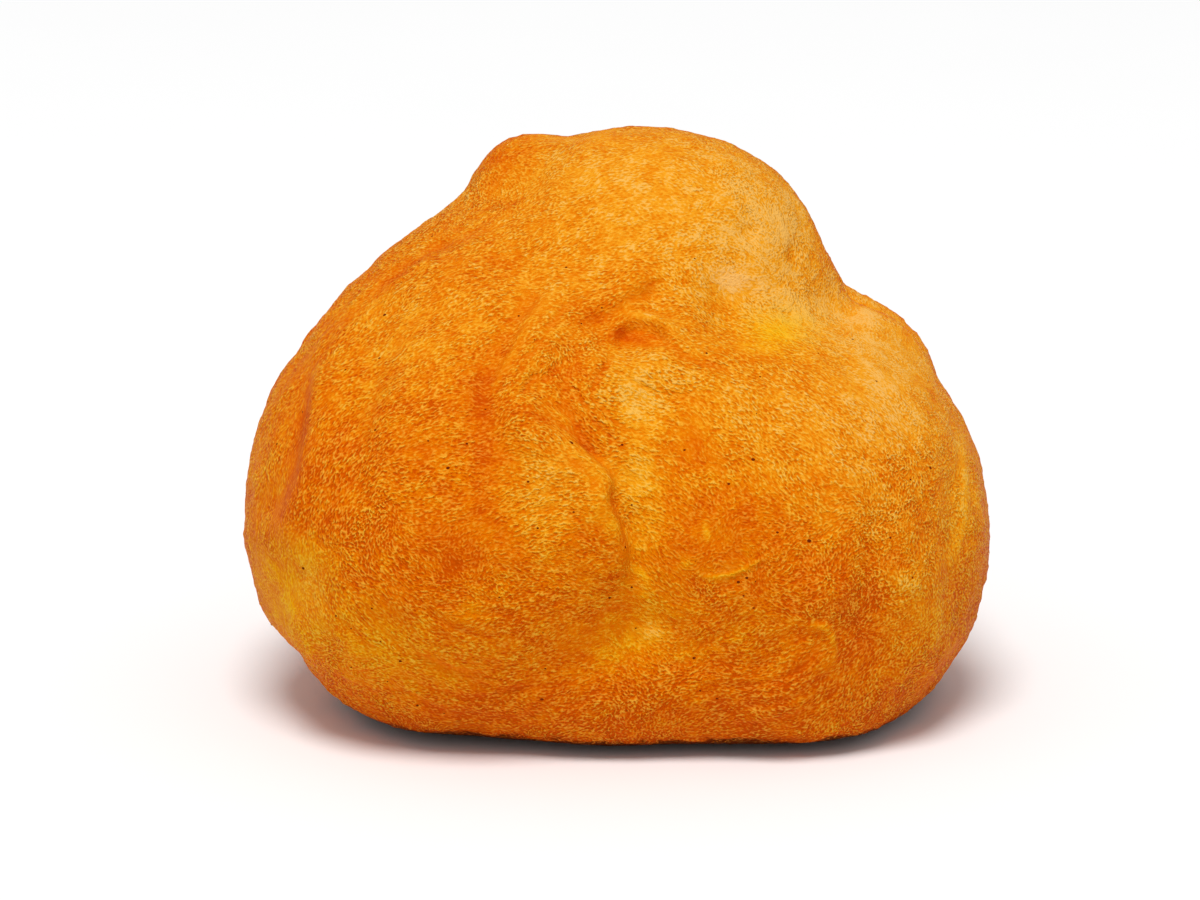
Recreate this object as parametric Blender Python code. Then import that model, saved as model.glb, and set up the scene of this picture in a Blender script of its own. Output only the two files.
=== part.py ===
"""A choux bun: one solid of puffed lobes on a flat underside, with its folds, furrows and dents.

The bun is a ball of quads blown out from a point inside it until it meets the skin of the melted
lobes. The marks on the skin are then pressed in. Shapes are worked out in millimetres and
scaled to BUN_WIDTH in metres at the end. +Z is up and the front faces -Y.
"""

import math

import bmesh
import bpy
import numpy as np

# ---------------------------------------------------------------- driving sizes
BUN_WIDTH = 0.070  # m, across the widest part of the baked bun, along X
NODE = "choux_bun"
PATCH_QUADS = 32  # quads along one side of each of the ball's six patches
FINER_TOWARDS = (0.0, -0.12, 0.16)  # quads are smaller on this side of the bun, and larger opposite

HEART = (0.0, 0.0, 19.0)  # the point inside that sees every bit of the skin, mm
FARTHEST = 60.0  # mm, outside the skin on every ray from the heart
MARCH_STEPS = 150
HALVINGS = 18
BASE_ROUNDING = 2.5  # mm, how softly the wall turns under to the flat base

# Lobes of puffed dough, mm: centre (x, y, z), half sizes (x, y, z), lean about the Y axis in
# degrees, and how softly the lobe melts into those before it.
LOBES = {
    "core": ((0.0, 0.0, 20.5), (31.0, 28.5, 22.5), 0, 6.0),
    "left_cheek": ((-15.5, -5.5, 18.5), (19.0, 23.5, 20.5), 14, 5.0),
    "left_brow": ((-19.5, -2.0, 24.5), (12.5, 15.0, 12.5), 30, 5.0),
    "left_shoulder": ((-10.5, 2.0, 31.0), (15.0, 17.0, 14.5), 45, 6.0),
    "right_cheek": ((17.0, -3.5, 17.0), (18.5, 23.5, 18.5), -8, 5.0),
    "right_shoulder": ((20.5, 5.0, 27.5), (8.5, 13.0, 10.5), 60, 4.0),
    "crown": ((3.0, 6.0, 36.0), (17.0, 17.0, 17.0), 0, 5.0),
    "crown_right": ((8.2, 6.5, 39.2), (10.4, 11.5, 10.9), 0, 4.0),
    "crown_brow": ((-2.2, 7.5, 44.3), (6.2, 8.0, 6.9), 0, 3.0),
    "nape": ((-10.4, 7.0, 38.4), (8.1, 9.0, 8.0), 0, 4.0),
    "nub": ((-8.4, 8.5, 47.1), (4.8, 6.0, 4.8), -35, 2.0),
    "left_foot": ((-9.0, -4.5, 7.0), (15.5, 19.5, 9.0), 0, 5.0),
    "front_foot": ((2.0, -12.0, 6.0), (14.0, 13.5, 8.0), 0, 5.0),
    "right_foot": ((15.5, -4.5, 6.5), (17.0, 20.5, 10.0), 0, 5.0),
    "back_left": ((-13.0, 15.0, 17.0), (17.0, 15.0, 16.0), 0, 4.0),
    "back_right": ((14.0, 16.0, 18.0), (15.0, 14.0, 17.0), 0, 3.5),
}

# Marks are placed as an eye a little above the table sees them: (right, up) in mm from the
# point that it looks at, in a plane through that point. An azimuth walks the eye round the bun.
EYE_ELEVATION = 15.0  # degrees
EYE_DISTANCE = 474.0  # mm
LOOKED_AT = (-1.4, 0.0, 23.1)  # mm
FRONT, RIGHT, BACK, LEFT = 0.0, 90.0, 180.0, 270.0
FULLY_FACING = 0.25  # a mark is pressed in at full depth where the skin faces the eye this much
FOLD_EDGE = 1.0  # mm, half the width of the step at a fold

# Furrows: azimuth, half width, depth in mm (a ridge has a depth below 0), points along it.
FURROWS = {
    "valley": (FRONT, 4.5, 1.6, [(3.5, 10), (4.7, 4.5), (5.5, -1), (5, -8), (4, -15), (3, -20)]),
    "crown_hollow": (FRONT, 3.5, 1.3, [(8, 15.5), (15, 13.5), (21, 13.5), (27, 15)]),
    "long_groove": (FRONT, 1.5, 0.7, [(-3.8, 17.5), (-7.6, 13), (-10, 9), (-10.9, 3), (-10.8, -3.5)]),
    "inner_ridge": (FRONT, 1.6, -0.6, [(-1, 18), (-5.7, 13.5), (-8.2, 8.5), (-7, 3), (0, -4)]),
    "shoulder_furrow": (FRONT, 2.2, 0.8, [(-13, 16), (-19.5, 13), (-22, 7), (-23, -1), (-23, -9)]),
    "right_furrow": (FRONT, 1.8, 0.8, [(26.5, -2.5), (26.4, -9), (25.6, -14), (24.8, -20)]),
    "right_rim_furrow": (FRONT, 1.0, 0.7, [(33.6, 2), (34.0, -4.5), (33.9, -10.5), (33.2, -15)]),
    "right_curl": (FRONT, 1.6, -0.6, [(20.9, -10.5), (22, -15), (21.5, -19.5), (18, -23.5), (13, -25)]),
    "right_side_furrow": (RIGHT, 2.2, 1.3, [(-2, -16), (3, -8), (4, 2), (9, 11), (14, 16)]),
    "right_side_dimple": (RIGHT, 2.0, 0.9, [(15, -17), (18, -10), (17, -2)]),
    "back_valley": (BACK, 3.0, 1.6, [(-2, 18), (1, 11), (-1, 3), (0, -6), (3, -14)]),
    "back_arc": (BACK, 1.6, 0.8, [(-24, 2), (-18, 9), (-10, 11), (-3, 9)]),
    "back_low_crease": (BACK, 1.6, 0.9, [(8, -11), (14, -8), (20, -10), (26, -8)]),
    "left_side_furrow": (LEFT, 2.2, 1.2, [(-14, 15), (-11, 7), (-13, -2), (-10, -12)]),
    "left_side_crease": (LEFT, 1.6, 0.9, [(-5, 9), (0, 4), (-1, -4), (2, -11)]),
}

# Folds: azimuth, reach, height in mm, points. The skin to the left of the walk stands proud.
FOLDS = {
    "cheek_fold": (
        FRONT, 3.5, 1.0,
        [(0.5, -14.5), (2.1, -12), (2.3, -9), (1.6, -5.2), (0.4, -2.8), (-3.8, 1.7), (-6, 4.3), (-6.6, 6.8)],
    ),
    "upper_crust": (FRONT, 3.0, 0.6, [(-6.6, 6.8), (-3.3, 10.4), (-0.9, 12.7), (3.8, 14.7), (6.6, 16.8)]),
    "left_rim_fold": (FRONT, 2.5, 0.6, [(-26, 11), (-27.7, 5), (-28.6, -0.5), (-30, -5), (-32.5, -8.5)]),
    "back_fold": (BACK, 3.5, 0.9, [(12, 16), (15, 8), (14, 0), (9, -6)]),
}

# Dents: azimuth, centre, half sizes (across, up), depth in mm (a blister's depth is below 0).
DENTS = {
    "lip_hollow": (FRONT, (2.9, 10.2), (2.6, 1.3), 1.2),
    "waist_dent": (FRONT, (2.6, -18.3), (4.0, 3.0), 1.2),
    "left_waist_dent": (FRONT, (-29.4, -13.5), (3.0, 3.0), 0.9),
    "crown_dimple": (FRONT, (14.2, 20.7), (1.8, 1.8), 0.4),
    "crown_pucker": (FRONT, (18.3, 18.3), (1.6, 2.4), 0.6),
    "shoulder_dimple": (FRONT, (-15.0, 19.4), (1.4, 1.1), 0.6),
    "right_heel_nick": (FRONT, (29.5, -24.0), (2.2, 1.6), 0.9),
    "back_waist_dent": (BACK, (-17, -16), (4.5, 3.0), 1.4),
    "back_blister": (BACK, (17, 10), (4.0, 3.2), -0.8),
    "right_side_dent": (RIGHT, (5, -17), (4.0, 2.8), 1.3),
    "left_side_dent": (LEFT, (-1, -17), (4.5, 2.6), 1.2),
}

# Uneven puffing all over the skin: size of the lumps and their height, mm.
LUMPS = ((10.0, 0.45), (4.5, 0.18))
LUMP_SEED = 11
FLAT_BELOW = 2.5  # mm above the table, where marks and lumps have faded out towards the base

CRUST_COLOUR = (0.76, 0.27, 0.03, 1.0)
CRUST_ROUGHNESS = 0.55


# ---------------------------------------------------------------- dough
def ellipsoid(points, centre, radii, lean):
    """Roughly the distance in mm from the points to a leaning ellipsoid, negative inside."""
    away = points - np.array(centre)
    turn = math.radians(lean)
    along_x = away[:, 0] * math.cos(turn) - away[:, 2] * math.sin(turn)
    along_z = away[:, 0] * math.sin(turn) + away[:, 2] * math.cos(turn)
    scaled = np.stack([along_x, away[:, 1], along_z], 1) / np.array(radii)
    steep = np.linalg.norm(scaled / np.array(radii), axis=1) + 1e-9
    size = np.linalg.norm(scaled, axis=1)
    return size * (size - 1.0) / steep


def melt(a, b, soft):
    """The lower of two distances, rounded where they are within soft of each other."""
    share = np.clip(0.5 + 0.5 * (b - a) / soft, 0.0, 1.0)
    return b * (1 - share) + a * share - soft * share * (1 - share)


def dough(points):
    """Distance in mm from the points to the skin of the whole bun, negative inside."""
    skin = None
    for centre, radii, lean, soft in LOBES.values():
        lobe = ellipsoid(points, centre, radii, lean)
        skin = lobe if skin is None else melt(skin, lobe, soft)
    return -melt(-skin, points[:, 2], BASE_ROUNDING)


def skin_points(directions):
    """The outermost point of the dough on each ray from the heart, in mm."""
    heart = np.array(HEART)
    reach = np.full(len(directions), FARTHEST)
    inside = np.zeros(len(directions))
    found = np.zeros(len(directions), bool)
    step = FARTHEST / MARCH_STEPS
    for n in range(MARCH_STEPS, 0, -1):
        near = (n - 1) * step
        hit = ~found & (dough(heart + directions * near) < 0)
        inside[hit] = near
        reach[hit] = n * step
        found |= hit
    for _ in range(HALVINGS):
        middle = (inside + reach) / 2
        within = dough(heart + directions * middle[:, None]) < 0
        inside = np.where(within, middle, inside)
        reach = np.where(within, reach, middle)
    return heart + directions * reach[:, None]


def outward(points, nudge=0.05):
    """Unit directions straight out of the skin, from the slope of the dough's distance."""
    slope = np.stack([dough(points + nudge * axis) - dough(points - nudge * axis) for axis in np.eye(3)], 1)
    return slope / np.linalg.norm(slope, axis=1)[:, None]


# ---------------------------------------------------------------- marks
def ease(value, low, high):
    """0 below low, 1 above high and smooth between."""
    share = np.clip((value - low) / (high - low), 0.0, 1.0)
    return share * share * (3 - 2 * share)


def eye(azimuth):
    """Where the eye is, and the unit directions right, up and ahead of it."""
    rise, walk = math.radians(EYE_ELEVATION), math.radians(azimuth)
    level = np.array([-math.sin(walk), math.cos(walk), 0.0])
    ahead = level * math.cos(rise) + np.array([0.0, 0.0, -math.sin(rise)])
    right = np.array([math.cos(walk), math.sin(walk), 0.0])
    place = np.array(LOOKED_AT) - ahead * EYE_DISTANCE
    return place, right, np.cross(right, ahead), ahead


def seen(points, normals, azimuth):
    """(right, up) of the points as the eye sees them, and how much of a mark each takes."""
    place, right, up, ahead = eye(azimuth)
    away = points - place
    spread = EYE_DISTANCE / (away @ ahead)
    view = np.stack([(away @ right) * spread, (away @ up) * spread], 1)
    return view, ease(-(normals @ ahead), 0.0, FULLY_FACING)


def smooth_line(stops, pieces=6):
    """Points on a smooth curve through the stops."""
    ends = [2 * np.array(stops[0]) - stops[1], *map(np.array, stops), 2 * np.array(stops[-1]) - stops[-2]]
    line = []
    for before, start, stop, after in zip(ends, ends[1:], ends[2:], ends[3:]):
        for t in np.arange(pieces) / pieces:
            line.append(
                start
                + 0.5 * t * (stop - before)
                + t**2 * (before - 2.5 * start + 2 * stop - 0.5 * after)
                + 0.5 * t**3 * (-before + 3 * start - 3 * stop + after)
            )
    return np.array([*line, ends[-2]], float)


def beside(view, stops):
    """How far each seen point is from a curve, positive to its left, and how far along, 0 to 1."""
    line = smooth_line(stops)
    nearest = np.full(len(view), np.inf)
    side = np.ones(len(view))
    along = np.zeros(len(view))
    last = len(line) - 1
    for n, (start, stop) in enumerate(zip(line, line[1:])):
        run = stop - start
        share = np.clip((view - start) @ run / (run @ run), 0, 1)
        gap = view - start - share[:, None] * run
        distance = np.linalg.norm(gap, axis=1)
        closer = distance < nearest
        nearest[closer] = distance[closer]
        side[closer] = np.sign(run[0] * gap[:, 1] - run[1] * gap[:, 0])[closer]
        along[closer] = ((n + share) / last)[closer]
    return nearest * side, along


def tapered(along, share=0.2):
    """Fades a mark in and out over that share of its length at each end."""
    return ease(along, 0.0, share) * ease(1 - along, 0.0, share)


def pressed(points, normals):
    """How far the marks move each point of the skin outwards, in mm."""
    move = np.zeros(len(points))
    for azimuth, half_width, depth, stops in FURROWS.values():
        view, takes = seen(points, normals, azimuth)
        across, along = beside(view, stops)
        move -= depth * np.exp(-((across / half_width) ** 2)) * tapered(along) * takes
    for azimuth, reach, height, stops in FOLDS.values():
        view, takes = seen(points, normals, azimuth)
        across, along = beside(view, stops)
        step = np.tanh(across / FOLD_EDGE) * np.exp(-((across / reach) ** 2))
        move += height * step * tapered(along) * takes
    for azimuth, centre, half_sizes, depth in DENTS.values():
        view, takes = seen(points, normals, azimuth)
        off = (((view - np.array(centre)) / np.array(half_sizes)) ** 2).sum(1)
        move -= depth * np.exp(-off) * takes
    return move


# ---------------------------------------------------------------- lumps
def lumpiness(points, size, seed):
    """Smooth random values from -1 to 1, in lumps of about that size."""
    lattice = np.random.default_rng(seed).uniform(-1, 1, (32, 32, 32))
    place = points / size
    cell = np.floor(place).astype(int)
    share = place - cell
    share = share * share * (3 - 2 * share)
    value = np.zeros(len(points))
    for corner in np.ndindex(2, 2, 2):
        weight = np.prod(np.where(corner, share, 1 - share), axis=1)
        x, y, z = ((cell + corner) % 32).T
        value += weight * lattice[x, y, z]
    return value


def bun_points(directions):
    """The finished skin in mm, one point for each direction from the heart."""
    points = skin_points(directions)
    normals = outward(points)
    move = pressed(points, normals)
    for layer, (size, height) in enumerate(LUMPS):
        move += height * lumpiness(points, size, LUMP_SEED + layer)
    above_base = ease(points[:, 2], 0.0, FLAT_BELOW)
    points = points + normals * (move * above_base)[:, None]
    points[:, 2] = np.maximum(points[:, 2], 0.0)
    return points


# ---------------------------------------------------------------- Blender
def patched_ball(quads):
    """A closed cube of six patches of quads, to be blown up into a ball."""
    ball = bmesh.new()
    bmesh.ops.create_cube(ball, size=2.0)
    bmesh.ops.subdivide_edges(ball, edges=ball.edges[:], cuts=quads - 1, use_grid_fill=True)
    return ball


def directions_of(ball):
    """Unit directions of the cube's points, evened out and then drawn towards the finer side."""
    corners = np.array([point.co for point in ball.verts], float)
    spread = np.tan(corners * math.pi / 4)
    spread /= np.linalg.norm(spread, axis=1)[:, None]
    spread += FINER_TOWARDS
    return spread / np.linalg.norm(spread, axis=1)[:, None]


def crust():
    material = bpy.data.materials.new("baked_crust")
    material.use_nodes = True
    surface = material.node_tree.nodes["Principled BSDF"]
    surface.inputs["Base Color"].default_value = CRUST_COLOUR
    surface.inputs["Roughness"].default_value = CRUST_ROUGHNESS
    surface.inputs["Metallic"].default_value = 0.0
    return material


def choux_bun():
    """The bun as one closed mesh, its footprint's middle at the origin and its base at Z 0."""
    ball = patched_ball(PATCH_QUADS)
    points = bun_points(directions_of(ball))
    low, high = points.min(0), points.max(0)
    points[:, :2] -= (low[:2] + high[:2]) / 2
    points *= BUN_WIDTH / (high[0] - low[0])
    for point, place in zip(ball.verts, points):
        point.co = place
    bmesh.ops.triangulate(ball, faces=ball.faces[:], quad_method="SHORT_EDGE")
    bmesh.ops.recalc_face_normals(ball, faces=ball.faces[:])
    mesh = bpy.data.meshes.new(NODE)
    ball.to_mesh(mesh)
    ball.free()
    mesh.materials.append(crust())
    mesh.shade_smooth()
    bun = bpy.data.objects.new(NODE, mesh)
    bpy.context.scene.collection.objects.link(bun)
    return bun


def main():
    for old in list(bpy.data.objects):
        bpy.data.objects.remove(old)
    choux_bun()


if __name__ == "__main__":
    main()
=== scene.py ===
"""A baked choux bun: its crinkled crust, its pinpricks and a plain studio to see it in.

The crust is a fine ball of quads laid on the frame's solid and relaxed, then carved with the folds,
creases and dents that are finer than the solid holds, and coloured by how much each place is toasted,
with painted shade in its creases, painted highlights on its finest crests and painted light and sheen
in places.
Geometry Nodes raise the crinkles along the way that the dough stretched, and set the pinpricks.
Tables of marks are in millimetres. The front faces -Y and +Z is up.
"""

import math

import bmesh
import bpy
import numpy as np
from bpy.props import FloatProperty, FloatVectorProperty, IntProperty, PointerProperty
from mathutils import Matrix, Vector
from mathutils.bvhtree import BVHTree


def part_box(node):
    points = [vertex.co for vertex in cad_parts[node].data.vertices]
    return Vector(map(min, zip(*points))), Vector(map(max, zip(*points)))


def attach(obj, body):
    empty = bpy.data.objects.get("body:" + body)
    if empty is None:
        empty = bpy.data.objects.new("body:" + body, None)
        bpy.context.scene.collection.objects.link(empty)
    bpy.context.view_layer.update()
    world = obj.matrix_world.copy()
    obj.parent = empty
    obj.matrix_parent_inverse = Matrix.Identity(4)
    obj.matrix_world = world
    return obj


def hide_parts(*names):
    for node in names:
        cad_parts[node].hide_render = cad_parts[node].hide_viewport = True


bl_info = {
    "name": "Choux Bun",
    "version": (1, 0, 0),
    "blender": (4, 5, 0),
    "location": "3D View > Sidebar > Choux Bun",
    "description": "Makes the crust and pinpricks of a baked choux bun, and a plain studio",
    "category": "Add Mesh",
}

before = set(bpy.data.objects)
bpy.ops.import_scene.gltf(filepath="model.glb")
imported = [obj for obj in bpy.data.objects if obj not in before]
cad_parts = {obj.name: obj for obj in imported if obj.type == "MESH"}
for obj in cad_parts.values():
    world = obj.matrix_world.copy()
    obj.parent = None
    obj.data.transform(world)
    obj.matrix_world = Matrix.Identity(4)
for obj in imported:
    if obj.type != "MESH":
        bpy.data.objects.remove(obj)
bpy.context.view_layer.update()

NODE = "choux_bun"
MM = 0.001

# ---------------------------------------------------------------- how the bun is looked at
# Marks are placed as an eye a little above the table sees them: (right, up) in mm from the point
# that it looks at, in a plane through that point. An azimuth walks the eye round the bun.
EYE_ELEVATION = 15.0  # degrees
EYE_DISTANCE = 473.5  # mm
LOOKED_AT = (-1.7, -0.6, 23.1)  # mm
FRONT, RIGHT, BACK, LEFT = 0.0, 90.0, 180.0, 270.0
FRONT_RIGHT, FRONT_LEFT = 60.0, 300.0
FULLY_FACING = 0.3  # a mark is at full depth where the skin faces the eye at least this much

# ---------------------------------------------------------------- marks, mm
CHEEK_EDGE = [
    (0.9, -14.0), (1.7, -12.3), (2.5, -11.0), (2.7, -9.5), (2.3, -7.8), (1.7, -6.3), (1.0, -4.7),
    (1.3, -3.2), (0.9, -2.1), (-0.2, -0.9), (-1.8, 0.4)]

# Creases: azimuth, half width, depth (a raised one has a depth below 0), how much darker the crease is
# coloured as painted shade (below 0, paler: a painted highlight on a raised one), points along it. The
# skin to the left of the walk has a fine lip.
CREASES = {
    "cheek_edge": (FRONT, 0.55, 0.10, 0.03, CHEEK_EDGE),
    "cheek_rim": (FRONT, 0.90, -0.14, -0.08, [
        (1.4, -10.8), (1.4, -9.2), (1.0, -7.6), (0.4, -6.2), (-0.2, -4.8), (0.0, -3.4),
        (-0.6, -2.2), (-1.8, -1.0)]),
    "cheek_crease": (FRONT, 0.40, 0.28, 0.03, [
        (0.8, -2.0), (-0.1, -0.7), (-1.5, 0.6), (-2.4, 1.5), (-3.7, 2.4), (-5.1, 3.0), (-6.8, 3.6)]),
    "cheek_crease_above": (FRONT, 0.35, 0.22, 0.03, [
        (0.5, -1.4), (-0.6, 0.2), (-2.1, 2.0), (-3.1, 3.6), (-6.0, 4.9)]),
    "cheek_ray_1": (FRONT, 0.32, 0.20, 0.03, [
        (1.6, 0.6), (0.9, 1.4), (-0.5, 2.8), (-1.7, 4.6), (-3.0, 6.0)]),
    "cheek_ray_2": (FRONT, 0.32, 0.18, 0.03, [(4.6, 1.4), (2.8, 2.0), (1.3, 2.9), (0.0, 4.2), (-1.6, 5.6)]),
    "cheek_line_low": (FRONT, 0.32, 0.18, 0.02, [
        (-0.3, -4.0), (-1.0, -2.6), (-2.4, -1.3), (-3.2, 0.0), (-5.2, 1.0)]),
    "brow_pucker": (FRONT, 0.40, 0.28, 0.04, [
        (-7.4, 4.8), (-7.0, 6.0), (-6.3, 6.9), (-5.4, 7.2), (-4.6, 6.7)]),
    "brow_line": (FRONT, 0.40, 0.20, 0.03, [(-5.4, 6.2), (-4.6, 7.3), (-3.6, 8.3), (-2.8, 9.0)]),
    "upper_crust": (FRONT, 0.80, 0.22, 0.12, [
        (7.4, 17.0), (5.7, 15.9), (4.4, 15.1), (2.9, 14.3), (1.8, 13.4), (0.3, 12.9), (-1.0, 12.3),
        (-2.2, 11.4)]),
    "upper_crust_low": (FRONT, 0.40, 0.18, 0.02, [
        (1.6, 13.2), (3.0, 12.9), (4.6, 13.0), (6.4, 12.7), (8.2, 12.0)]),
    "arc_inner": (FRONT, 0.50, 0.16, 0.12, [
        (0.9, 9.8), (1.5, 10.9), (2.6, 11.6), (3.9, 11.8), (5.1, 11.4), (6.2, 10.6), (7.2, 9.6)]),
    "arc_tail": (FRONT, 0.45, 0.26, 0.05, [(1.2, 9.6), (0.8, 8.4), (0.1, 7.4), (-0.5, 6.2), (-0.8, 5.0)]),
    "middle_fold": (FRONT, 0.85, 0.26, 0.07, [
        (-0.3, 10.3), (-1.9, 9.0), (-3.2, 6.7), (-3.2, 4.8), (-2.2, 2.8), (-0.6, 0.8), (1.0, -1.1)]),
    "arc_ray": (FRONT, 0.32, 0.16, 0.02, [
        (0.6, 8.0), (1.9, 7.3), (3.8, 6.1), (5.6, 5.4), (7.6, 5.0), (9.4, 4.2)]),
    "arc_outer": (FRONT, 0.45, 0.20, 0.04, [(6.0, 10.4), (7.4, 9.3), (9.2, 8.4), (11.4, 7.8), (13.4, 7.0)]),
    "long_groove": (FRONT, 1.20, 0.30, 0.20, [
        (-3.8, 17.5), (-6.2, 14.6), (-7.9, 11.8), (-9.3, 9.0), (-10.6, 6.8), (-11.2, 4.0), (-11.0, -1.0)]),
    "groove_ridge": (FRONT, 0.55, -0.22, -0.05, [
        (-4.6, 15.2), (-6.4, 12.8), (-7.8, 10.4), (-9.2, 8.0), (-10.0, 6.2), (-10.5, 3.6)]),
    "groove_second": (FRONT, 0.45, 0.18, 0.03, [
        (-1.6, 15.4), (-3.8, 13.0), (-5.6, 10.4), (-7.2, 8.2), (-8.2, 6.0)]),
    "left_rim_line": (FRONT, 0.70, 0.14, 0.14, [
        (-27.0, 9.6), (-27.9, 5.0), (-28.8, 0.0), (-29.4, -4.0), (-31.2, -8.6)]),
    "right_rim_line": (FRONT, 0.35, -0.14, -0.03, [(34.0, 1.4), (34.5, -2.6), (34.5, -6.6), (33.6, -11.0)]),
    "right_line": (FRONT, 0.22, -0.22, -0.10, [
        (8.6, -12.0), (10.6, -12.0), (12.6, -11.7), (14.6, -10.8), (16.4, -9.7)]),
    "right_curl": (FRONT, 0.40, -0.30, -0.10, [
        (18.9, -17.2), (20.4, -16.6), (21.7, -17.2), (22.2, -19.7), (20.4, -21.7)]),
    "curl_inner": (FRONT, 0.35, 0.14, 0.03, [
        (9.0, -22.0), (14.0, -22.3), (18.0, -21.3), (20.4, -18.6), (20.6, -15.0)]),
    "curl_middle": (FRONT, 0.35, 0.14, 0.03, [
        (9.5, -23.8), (14.5, -24.2), (19.0, -23.2), (22.2, -20.0), (22.8, -15.5)]),
    "curl_low": (FRONT, 0.35, 0.14, 0.03, [(10.0, -25.8), (15.0, -26.0), (20.0, -24.6), (23.6, -21.4)]),
    "left_whorl_1": (FRONT, 0.35, 0.12, 0.03, [
        (-20.0, -16.5), (-16.5, -19.8), (-11.5, -21.2), (-6.5, -20.0)]),
    "left_whorl_2": (FRONT, 0.35, 0.12, 0.03, [
        (-21.0, -19.0), (-17.0, -22.2), (-11.0, -23.4), (-4.5, -21.6)]),
    "left_whorl_3": (FRONT, 0.30, 0.12, 0.03, [
        (-17.0, -14.5), (-13.5, -17.0), (-9.5, -17.6), (-5.5, -16.4)]),
    "left_whorl_4": (FRONT, 0.30, 0.12, 0.03, [
        (-22.5, -14.0), (-19.5, -18.2), (-14.5, -21.0), (-9.0, -22.6), (-3.0, -22.0)]),
    "left_whorl_5": (FRONT, 0.30, 0.12, 0.03, [
        (-20.0, -21.6), (-15.0, -24.6), (-8.5, -25.4), (-2.5, -23.8)]),
    "shoulder_line": (FRONT, 0.45, 0.20, 0.06, [
        (-24.0, 12.0), (-21.0, 15.4), (-17.2, 18.4), (-13.0, 20.6)]),
    "right_side_crease": (RIGHT, 0.90, 0.40, 0.09, [(-1, -14), (2, -8), (3, 0), (7, 8), (9, 12)]),
    "right_side_line": (RIGHT, 0.70, 0.26, 0.05, [(14, -18), (18, -10), (17, -1), (18, 5)]),
    "right_side_low_line": (RIGHT, 0.60, 0.20, 0.04, [(3, -6), (7, -10), (12, -13), (18, -14)]),
    "back_crease": (BACK, 1.00, 0.42, 0.10, [(-4, 18), (-1, 11), (0, 3), (-1, -6), (1, -15)]),
    "back_line": (BACK, 0.80, 0.28, 0.07, [(-26, -3), (-19, 4), (-11, 7), (-3, 8)]),
    "back_ray_1": (BACK, 0.50, 0.20, 0.03, [(-1, 5), (-4, 1), (-6, -4), (-7, -12)]),
    "back_ray_2": (BACK, 0.60, 0.22, 0.03, [(0, 8), (7, 8), (14, 6), (22, 2)]),
    "back_low_line": (BACK, 0.80, 0.25, 0.06, [(2, -14), (9, -16), (17, -15), (25, -11)]),
    "left_side_crease": (LEFT, 0.95, 0.40, 0.09, [(-16, 13), (-13, 6), (-14, -3), (-11, -14)]),
    "left_side_line": (LEFT, 0.70, 0.26, 0.05, [(-6, 9), (-2, 2), (-2, -7), (1, -15)]),
    "left_side_ray": (LEFT, 0.55, 0.20, 0.03, [(-13, 2), (-9, -3), (-7, -9), (-3, -14)]),
}
LAYERS = 3  # a crease is drawn in the layer of its place in the table, so that neighbours do not mix
DRAWN_TO = (1.6, 2.6)  # half widths from a crease where its fine line starts to fade, and has gone
FULL_DEPTH = 0.40  # mm, the depth that draws the strongest fine line
SHARP_WIDTH = 0.30  # mm, half width above which a crease's fine line gets weaker
CREASE_SMOOTHS = 0.35  # how much of its crinkle the skin loses in a crease or at an overlap
LIP_AT, LIP_WIDE, LIP_HIGH = 1.4, 0.8, 0.3  # a crease's lip: half widths off and wide, share of its depth

LUMPS = [(3.4, 0.15, 44), (1.7, 0.08, 45)]  # all over the crust: how wide and high, mm, and seed

# Overlaps: azimuth, half width of the step, reach, height, points. The skin to the left of the
# walk stands proud.
OVERLAPS = {
    "arc_lip": (FRONT, 0.35, 1.5, 0.55, [
        (1.2, 9.6), (1.7, 10.8), (2.6, 11.9), (3.9, 12.2), (5.2, 11.8), (6.3, 10.9), (7.4, 9.6)]),
    "cheek": (FRONT, 0.55, 2.2, 0.50, [*CHEEK_EDGE, (-3.7, 2.2)]),
    "upper_crust": (FRONT, 0.85, 2.4, 0.34, [
        (-2.2, 11.4), (-1.0, 12.3), (0.3, 12.9), (1.8, 13.4), (4.4, 15.1), (7.4, 17.0)]),
    "left_rim": (FRONT, 0.6, 2.0, 0.24, [
        (-26.6, 10.0), (-27.7, 5.0), (-28.6, -0.5), (-30.0, -5.0), (-32.3, -8.5)]),
}
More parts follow.
